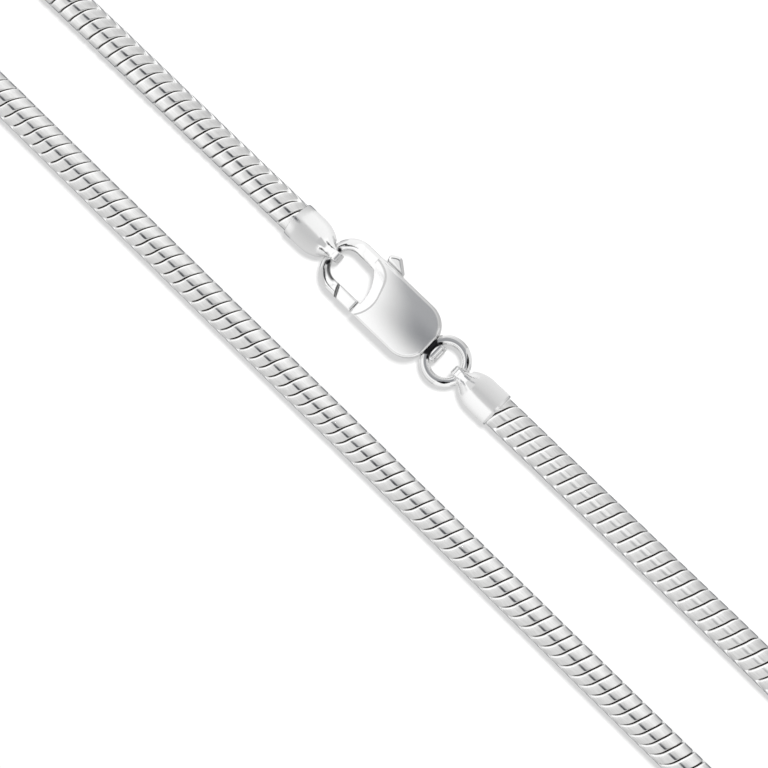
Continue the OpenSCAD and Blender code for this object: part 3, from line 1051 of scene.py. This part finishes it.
# %% [markdown]
# The body, the hook and the tail are one casting on the real clasp, with the pin pressed into it, so
# all four are one field here. Each edge has its own softness: the rim of the cushion is worn round, and
# the cuts for the gate and the slot are crisp.

# %% Clasp body
# How far each edge is softened, in millimetres
BODY_SOFT = {"dome": 0.28, "bevel": 0.05, "hook": 0.44, "step": 0.04, "tail": 0.25, "tail_root": 0.12}
EYE_SOFT = {"hook": 0.36, "body": 0.10}
CUT_SOFT = {"gate": 0.07, "slot": 0.03, "ring": 0.03}


def body_field(x, y, z):
    """The cushion with its bevel, joined to the hook and the tail, less the eye, the gate, the slot and
    the ring."""
    up = np.abs(z)
    outline = clasp_outline(x, y)
    cushion = rounded_both(outline, up - dome_height(x, y), BODY_SOFT["dome"])
    cushion = rounded_both(cushion, bevel_field(x, y, up), BODY_SOFT["bevel"])
    cushion = rounded_both(cushion, step_x - 0.1 - x, BODY_SOFT["bevel"])
    hook = rounded_both(outline, up - hook_height(x), BODY_SOFT["hook"])
    solid = rounded_either(cushion, hook, BODY_SOFT["step"])
    tail_side = np.abs(y) - tail_w / 2 + waist_in * waist(x)
    tail_face = box_field(x, z, dome_x, end_x + tail_len, -tail_t / 2, tail_t / 2, tail_t / 2 - 0.05)
    tail = rounded_both(tail_side, tail_face + waist_down * waist(x), BODY_SOFT["tail"])
    solid = rounded_either(solid, tail, BODY_SOFT["tail_root"])
    eye_soft = np.interp(x, [hook_x + 3.15, hook_x + 4.35], [EYE_SOFT["hook"], EYE_SOFT["body"]])
    solid = rounded_less(solid, opening_field(x, y), eye_soft)
    solid = rounded_less(solid, gate_space(x, y), CUT_SOFT["gate"])
    solid = rounded_less(solid, np.maximum(slot_space(x, y), up - slot_t / 2), CUT_SOFT["slot"])
    solid = rounded_less(solid, ring_field(x, y, z, ring_wire / 2 + ring_clear), CUT_SOFT["ring"])
    pin = np.maximum(circle_field(x, y, pivot, pin_r), up - slot_t / 2 - 0.2)
    return np.minimum(solid, pin)


print("the clasp's own edges are rounded by up to", max(BODY_SOFT.values()), "mm")


# %% [markdown]
# Some places of the clasp look dark because they mirror their own neighbours, finer than the mesh can
# show. So their darkness is painted shade on its points: the tail's neck, the gate's slit, the hook's
# inner edge beside the cap's loop, the eye's near wall and the edge of the bevel. A second value marks
# the satin faces of the cushion.

# %% Painted shade and satin on the clasp
def tail_neck(x, y):
    """Painted shade in the hollow between the body and the tail's round end, wider at both sides than in the
    middle.
    """
    begins = fade_in(x - end_x + 0.05, 0.05)
    ends = fade_in(end_x + 0.50 + 0.26 * (y / 0.85) ** 2 - x, 0.06)
    return begins * ends * fade_in(1.0 - np.abs(y), 0.05)


def slit_walls(x, y):
    """Painted shade on both walls of the slit between the gate and the body."""
    near_slit = np.clip(1.8 - np.abs(circle_field(x, y, pivot, slit_r)) / 0.08, 0, 1)
    return near_slit * (y < opening_bottom + 0.05) * (x < pivot[0])


def beside_loop(x, y):
    """Two small places of painted shade on the hook's inner edge, beside the cap's loop."""
    places = ((0.62, 1.0), (-0.85, 1.6))
    near = [np.hypot(x - opening_x + 0.14, (y - side) / stretch) for side, stretch in places]
    return np.clip(2.2 - np.minimum(*near) / 0.11, 0, 1)


def inner_wall(x, y):
    """A line of painted shade along the eye's edge on the hook's near side, from the cap's loop to the gate.
    """
    line = np.clip(1.6 - np.abs(opening_field(x, y) - 0.04) / 0.18, 0, 1)
    return 0.85 * line * fade_in(-0.7 - y, 0.2) * fade_in(hook_x + 2.3 - x, 0.3)


def bevel_edge(x, y, z):
    """A faint line of painted shade along the sharp edge between the bevel and the dome."""
    up = np.abs(z)
    off = np.maximum(np.abs(bevel_field(x, y, up)), np.abs(up - dome_height(x, y)))
    return 0.45 * np.clip(1.6 - off / 0.04, 0, 1) * (x < dome_x)


def body_painted_shade(x, y, z):
    """The darkest of all the painted shade marks at each point."""
    marks = [tail_neck(x, y), slit_walls(x, y), beside_loop(x, y), inner_wall(x, y), bevel_edge(x, y, z)]
    return np.max(marks, 0)


def body_satin(x, y, z):
    """1 on the cushion above the hook's height, outside the bevel, and 0 elsewhere."""
    up = np.abs(z)
    cushion = (clasp_outline(x, y) < 0.4) & (up > hook_t / 2 - 0.02) & (x < end_x + 0.01)
    return 1.0 * (cushion & (bevel_field(x, y, up) < -0.02))


body_box = (hook_x, -half_w, -clasp_t / 2), (end_x + tail_len, half_w, clasp_t / 2)
body_paint = {"painted_shade": body_painted_shade, "satin": body_satin}
clasp_body = cast_piece("clasp_body_cast", body_field, body_box, 0.07, on_strand, body_paint)


# %% [markdown]
# The lever is one casting with three parts: the gate that closes the hook, the plate that turns on the
# pin inside the body, and the little tab for the fingernail. All three are flat, so each starts as a
# flat shape.


# %% The lever from above
OUTLINE_SOFT = 0.02


def gate_field(x, y):
    """A straight bar along the clasp's near side, cut to its outline and by the circle along which it
    swings."""
    flat = box_field(x, y, hook_x - 1, gate_root_x, -half_w, -half_w + gate_w, 0)
    flat = rounded_both(flat, clasp_outline(x, y), OUTLINE_SOFT)
    return np.maximum(flat, circle_field(x, y, pivot, slit_r - slit_w / 2))


def plate_field(x, y):
    """The hub and both arms of the plate."""
    hub_r = pin_r + pin_clear + plate_ring
    hub = circle_field(x, y, pivot, hub_r)
    to_gate = [
        (gate_root_x - 0.4, opening_bottom - 0.2),
        (gate_root_x - 0.4, opening_bottom - 0.65),
        (pivot[0] - 1.4, opening_bottom - 0.5),
        (pivot[0] + 0.3, pivot[1] - hub_r + 0.05),
        pivot,
        (pivot[0] - hub_r + 0.05, pivot[1] - 0.2),
    ]
    to_tab = [
        (pivot[0] - hub_r + 0.05, pivot[1] - 0.2),
        pivot,
        (pivot[0] + hub_r - 0.15, pivot[1] + 0.5),
        (pivot[0] - 0.85, half_w + 0.2),
        (pivot[0] - 2.65, half_w + 0.2),
    ]
    return np.minimum(hub, np.minimum(polygon_field(x, y, to_gate), polygon_field(x, y, to_tab)))


# The tab is a small hump that leans towards the hook, the shape round three circles. Columns: x from
# the pivot, y from the body's side, and the radius
TAB_CIRCLES = [(-2.0, 0.72, 0.40), (-2.42, 0.50, 0.38), (-0.92, 0.22, 0.12)]


def hull_of_circles(x, y, circles):
    """What a string round three circles encloses: a tapered bar between each two, and the triangle
    inside."""
    middles = [(pivot[0] + cx, half_w + cy) for cx, cy, _ in circles]
    field = polygon_field(x, y, middles)
    for i in range(3):
        (ax, ay), (bx, by) = middles[i], middles[(i + 1) % 3]
        ra, rb = circles[i][2], circles[(i + 1) % 3][2]
        length = np.hypot(bx - ax, by - ay)
        tx, ty = (bx - ax) / length, (by - ay) / length
        along, off = (x - ax) * tx + (y - ay) * ty, np.abs((y - ay) * tx - (x - ax) * ty)
        lean = (ra - rb) / length
        share = np.clip((along - off * lean / np.sqrt(1 - lean**2)) / length, 0, 1)
        bar = np.hypot(along - share * length, off) - (ra + (rb - ra) * share)
        field = np.minimum(field, bar)
    return field


print("the tab stands", max(y + r for _, y, r in TAB_CIRCLES), "mm out of the body's side")


# %% [markdown]
# Each flat shape then gets its thickness and its softened edges, and the three are joined. The walls of
# the slit get the same painted shade on the gate as on the body.

# %% Clasp lever
LEVER_SOFT = {"gate": 0.20, "plate": 0.05, "tab": 0.25, "gate_root": 0.05, "tab_root": 0.10, "bore": 0.03}


def lever_field(x, y, z):
    """The gate, the plate and the tab, each a flat shape with its own thickness, less the bore for the
    pin."""
    up = np.abs(z)
    gate = rounded_both(gate_field(x, y), up - gate_t / 2, LEVER_SOFT["gate"])
    plate = rounded_both(plate_field(x, y), up - plate_t / 2, LEVER_SOFT["plate"])
    tab = rounded_both(hull_of_circles(x, y, TAB_CIRCLES), up - tab_t / 2, LEVER_SOFT["tab"])
    solid = rounded_either(plate, gate, LEVER_SOFT["gate_root"])
    solid = rounded_either(solid, tab, LEVER_SOFT["tab_root"])
    return rounded_less(solid, circle_field(x, y, pivot, pin_r + pin_clear), LEVER_SOFT["bore"])


def lever_painted_shade(x, y, z):
    """Painted shade on the gate's wall along the slit."""
    return slit_walls(x, y)


lever_box = [corner - on_strand(np.zeros(3)) for corner in box_mm("clasp_lever")]
clasp_lever = cast_piece(
    "clasp_lever_cast", lever_field, lever_box, 0.055, on_strand, {"painted_shade": lever_painted_shade}
)


# %% [markdown]
# A cap is a small cup soldered on the chain's end. Past the socket it is pinched to a ridge, and it
# ends in a strap that is bent round into a loop, which holds the hook on one side and the jump ring on
# the other. A turned profile would do for the cup, but not for the ridge, so the section is an oval
# whose exponent goes down where the metal is pinched.

# %% The caps' sections
strap_w = 0.9
strap_t = 0.35
loop_len = max(hook_wire, ring_wire) + 0.2
loop_h = max(hook_tip_t, ring_wire) + 0.3
loop_corner = 0.2
# Columns: share of the cap's length from the rim, half width and half height as shares of its radius,
# and the exponent of the section's oval: 2 is round, less is pinched to a ridge
CAP_SECTIONS = np.array(
    [
        [0.00, 0.97, 0.97, 2.0],
        [0.02, 1.00, 1.00, 2.0],
        [0.30, 1.00, 1.00, 2.0],
        [0.42, 0.99, 1.00, 1.95],
        [0.50, 0.96, 1.00, 1.90],
        [0.57, 0.89, 0.97, 1.85],
        [0.64, 0.80, 0.90, 1.80],
        [0.70, 0.68, 0.82, 1.80],
        [0.76, 0.54, 0.74, 2.0],
        [0.82, 0.41, 0.67, 2.4],
        [0.86, 0.34, 0.64, 3.0],
    ]
)


def cap_section(x, column):
    """A column of the table at x, evened out over a short stretch, so that the skin has no creases
    across it."""
    blur = np.linspace(-0.14, 0.14, 7)
    rows = CAP_SECTIONS[:, 0] * cap_len
    return np.mean([np.interp(x + b, rows, CAP_SECTIONS[:, column]) for b in blur], axis=0)


print("half way along, a cap is", round(2 * cap_r * cap_section(cap_len / 2, 1), 2), "mm wide")


# %% [markdown]
# Both caps are the same piece, made once in its own frame with its rim at x = 0. The second is turned
# half round, which keeps its faces pointing outwards, as a mirror wouldn't.

# %% Caps
CAP_SOFT = {"end": 0.06, "strap": 0.12, "strap_root": 0.15, "hole": 0.06, "socket": 0.03}


def cap_field(x, y, z):
    """A lofted oval whose exponent sharpens it to a ridge, with its socket and its strap's loop."""
    wide, high, power = cap_section(x, 1) * cap_r, cap_section(x, 2) * cap_r, cap_section(x, 3)
    reach = ((np.abs(y) / wide) ** power + (np.abs(z) / high) ** power + 1e-9) ** (1 / power)
    cup = (reach - 1) * np.minimum(wide, high)
    cup = rounded_both(cup, np.maximum(-x, x - CAP_SECTIONS[-1, 0] * cap_len), CAP_SOFT["end"])
    hole_x = cap_len - strap_t - loop_len / 2
    out_h = loop_h / 2 + strap_t
    near_x, far_x = hole_x - loop_len / 2, hole_x + loop_len / 2
    strap = box_field(x, z, near_x - 0.1, far_x + strap_t, -out_h, out_h, loop_corner + strap_t)
    strap = rounded_both(strap, np.abs(y) - strap_w / 2, CAP_SOFT["strap"])
    solid = rounded_either(cup, strap, CAP_SOFT["strap_root"])
    hole = box_field(x, z, near_x, far_x, -loop_h / 2, loop_h / 2, loop_corner)
    solid = rounded_less(solid, hole, CAP_SOFT["hole"])
    socket = np.maximum(np.hypot(y, z) - socket_r, x - socket_depth)
    return rounded_less(solid, socket, CAP_SOFT["socket"])


def cap_on_hook_side(points):
    """Its rim faces -X, and its loop holds the hook."""
    return points + np.array([-rim_x, strand_y, axis_z])


def cap_on_ring_side(points):
    """Turned half round, so that its loop points the other way."""
    return points * np.array([-1, -1, 1]) + np.array([rim_x, strand_y, axis_z])


cap_box = (0, -cap_r, -cap_r), (cap_len, cap_r, cap_r)
cap_hook_side = cast_piece("cap_hook_side_cast", cap_field, cap_box, 0.06, cap_on_hook_side)
cap_ring_side = cast_piece("cap_ring_side_cast", cap_field, cap_box, 0.06, cap_on_ring_side)

# %% [markdown]
# The jump ring is a round wire bent into a closed ring and soldered: a circle carried round a circle.
# That is one sheet of quads which closes on itself both ways, so it needs no field.

# %% Jump ring
RING_STEPS = 144
WIRE_STEPS = 40


def ring_piece(name):
    """A circle carried round a circle: turn is the angle round the ring, and roll the one round the
    wire."""
    turn = 2 * np.pi * np.arange(RING_STEPS)[:, None] / RING_STEPS
    roll = 2 * np.pi * np.arange(WIRE_STEPS)[None, :] / WIRE_STEPS
    out = ring_r + ring_wire / 2 * np.cos(roll)
    height = ring_wire / 2 * np.sin(roll) + 0 * turn
    points = np.stack([ring_x + out * np.cos(turn), out * np.sin(turn), height], -1)
    i, j = np.arange(RING_STEPS)[:, None] * WIRE_STEPS, np.arange(WIRE_STEPS)
    ahead = (i + WIRE_STEPS) % (RING_STEPS * WIRE_STEPS)
    beside = (j + 1) % WIRE_STEPS
    quads = np.stack([i + j, ahead + j, ahead + beside, i + beside], -1).reshape(-1, 4)
    return new_piece(name, on_strand(points.reshape(-1, 3)), quads)


jump_ring = ring_piece("jump_ring_wire")

# %% [markdown]
# A metal shader could have one colour all over, but real silver shows how it was worn. So a fine noise
# on Object coordinates lifts and darkens the skin a little. The materials also read the values painted
# on the points: painted shade, painted highlights and the grooves' tarnish.

# %% Nodes for the metals
SILVER = (0.89, 0.89, 0.89, 1)
NEW_SILVER = (1.0, 1.0, 0.995, 1)
WORN_SILVER = (0.72, 0.72, 0.715, 1)
# The white of the painted highlights on the bands
HIGHLIGHT_WHITE = (1, 1, 1, 1)


def attribute(nodes, name):
    """The output of a node that reads one of the values on the points."""
    node = nodes.new("ShaderNodeAttribute")
    node.attribute_name = name
    return node.outputs["Fac"]


def colour_mix(material, factor, colour_a, colour_b):
    """Mixes two colours, each given as a colour or as another node's output, and returns the mix's
    output."""
    nodes, links = material.node_tree.nodes, material.node_tree.links
    mix = nodes.new("ShaderNodeMix")
    mix.data_type = "RGBA"
    links.new(factor, mix.inputs["Factor"])
    sockets = [socket for socket in mix.inputs if socket.type == "RGBA"]
    for socket, colour in zip(sockets, (colour_a, colour_b)):
        if isinstance(colour, tuple):
            socket.default_value = colour
        else:
            links.new(colour, socket)
    return [socket for socket in mix.outputs if socket.type == "RGBA"][0]


def noise_in(material, grain):
    """The output of a noise on Object coordinates, finer or longer along each axis as the grain says."""
    nodes, links = material.node_tree.nodes, material.node_tree.links
    place = nodes.new("ShaderNodeTexCoord")
    stretch = nodes.new("ShaderNodeMapping")
    stretch.inputs["Scale"].default_value = grain
    links.new(place.outputs["Object"], stretch.inputs["Vector"])
    noise = nodes.new("ShaderNodeTexNoise")
    noise.inputs["Scale"].default_value = 1.0
    noise.inputs["Detail"].default_value = 3
    links.new(stretch.outputs["Vector"], noise.inputs["Vector"])
    return noise.outputs["Fac"]


print("the silver gives back", SILVER[0], "of the light, and down to", WORN_SILVER[0], "where it is worn")


# %% [markdown]
# What differs from piece to piece is the finish: the bands, the ring, the hook and the lever are
# polished, while the caps and the clasp's domed faces are satin. The relief is some thousandths of a
# millimetre at most, because no hand-polished metal is a perfect mirror. The grooves keep a dark brown
# film, partly tarnish and partly painted shade, and the recesses a nearly black painted shade.

# %% Silver
# The grooves' dark brown: partly tarnish, partly painted shade
GROOVE_TARNISH_AND_SHADE = (0.040, 0.031, 0.024, 1)
# The nearly black painted shade in the recesses of the clasp and the lever
SHADE = (0.018, 0.018, 0.020, 1)
# Spots of the noise a metre, along X, Y and Z
FINE_GRAIN = (4000, 9000, 9000)
BAND_GRAIN = (1100, 5000, 5000)


def silver(name, roughness, relief, grain=FINE_GRAIN, rough=None, film_and_shade=None, bright=None, worn=False):
    """A metal whose noise stands up by relief. rough and film_and_shade each name a value on the points, and
    how rough or what colour the metal is where it is 1. bright names one where a painted highlight makes
    the metal white and not metallic, and worn lets the noise darken it in spots."""
    material = bpy.data.materials.new(name)
    material.use_nodes = True
    nodes, links = material.node_tree.nodes, material.node_tree.links
    shader = nodes["Principled BSDF"]
    shader.inputs["Metallic"].default_value = 1.0
    shader.inputs["Base Color"].default_value = SILVER
    shader.inputs["Roughness"].default_value = roughness
    if rough:
        mix = nodes.new("ShaderNodeMix")
        links.new(attribute(nodes, rough[0]), mix.inputs["Factor"])
        mix.inputs["A"].default_value = roughness
        mix.inputs["B"].default_value = rough[1]
        links.new(mix.outputs["Result"], shader.inputs["Roughness"])
    noise = noise_in(material, grain)
    colour = colour_mix(material, noise, WORN_SILVER, NEW_SILVER) if worn else SILVER
    if bright:
        colour = colour_mix(material, attribute(nodes, bright), colour, HIGHLIGHT_WHITE)
        not_metal_at_highlight = nodes.new("ShaderNodeMath")
        not_metal_at_highlight.operation = "SUBTRACT"
        not_metal_at_highlight.inputs[0].default_value = 1.0
        links.new(attribute(nodes, bright), not_metal_at_highlight.inputs[1])
        links.new(not_metal_at_highlight.outputs["Value"], shader.inputs["Metallic"])
    if film_and_shade:
        colour = colour_mix(material, attribute(nodes, film_and_shade[0]), colour, film_and_shade[1])
    if not isinstance(colour, tuple):
        links.new(colour, shader.inputs["Base Color"])
    bump = nodes.new("ShaderNodeBump")
    bump.inputs["Strength"].default_value = 1.0
    bump.inputs["Distance"].default_value = relief * MM
    links.new(noise, bump.inputs["Height"])
    links.new(bump.outputs["Normal"], shader.inputs["Normal"])
    return material


band_silver = silver(
    "band_silver",
    0.10,
    0.005,
    grain=BAND_GRAIN,
    rough=("bright", 0.7),
    film_and_shade=("groove", GROOVE_TARNISH_AND_SHADE),
    bright="bright",
    worn=True,
)
cap_silver = silver("cap_silver", 0.20, 0.004)
clasp_silver = silver("clasp_silver", 0.12, 0.0010, rough=("satin", 0.23), film_and_shade=("painted_shade", SHADE))
ring_silver = silver("ring_silver", 0.10, 0.0006)
lever_silver = silver("lever_silver", 0.10, 0.0006, film_and_shade=("painted_shade", SHADE))
print("the bands' silver has", len(band_silver.node_tree.nodes), "nodes")

# %% [markdown]
# At last each piece gets its material and the body it moves with, and the node of the imported model that it
# stands for is hidden.

# %% Fasten the pieces
for piece in chain_pieces:
    piece.data.materials.append(band_silver)
    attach(piece, "necklace")
    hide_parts("chain")

dressed = [
    (cap_hook_side, cap_silver, "necklace", "cap_hook_side", "cap_silver"),
    (cap_ring_side, cap_silver, "necklace", "cap_ring_side", "cap_silver"),
    (jump_ring, ring_silver, "necklace", "jump_ring", "ring_silver"),
    (clasp_body, clasp_silver, "necklace", "clasp_body", "clasp_silver"),
    (clasp_lever, lever_silver, "lever", "clasp_lever", "lever_silver"),
]
for piece, material, body, node, slot in dressed:
    piece.data.materials.append(material)
    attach(piece, body)
    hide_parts(node)
print(len(chain_pieces) + len(dressed), "pieces stand for", len(dressed) + 1, "nodes")
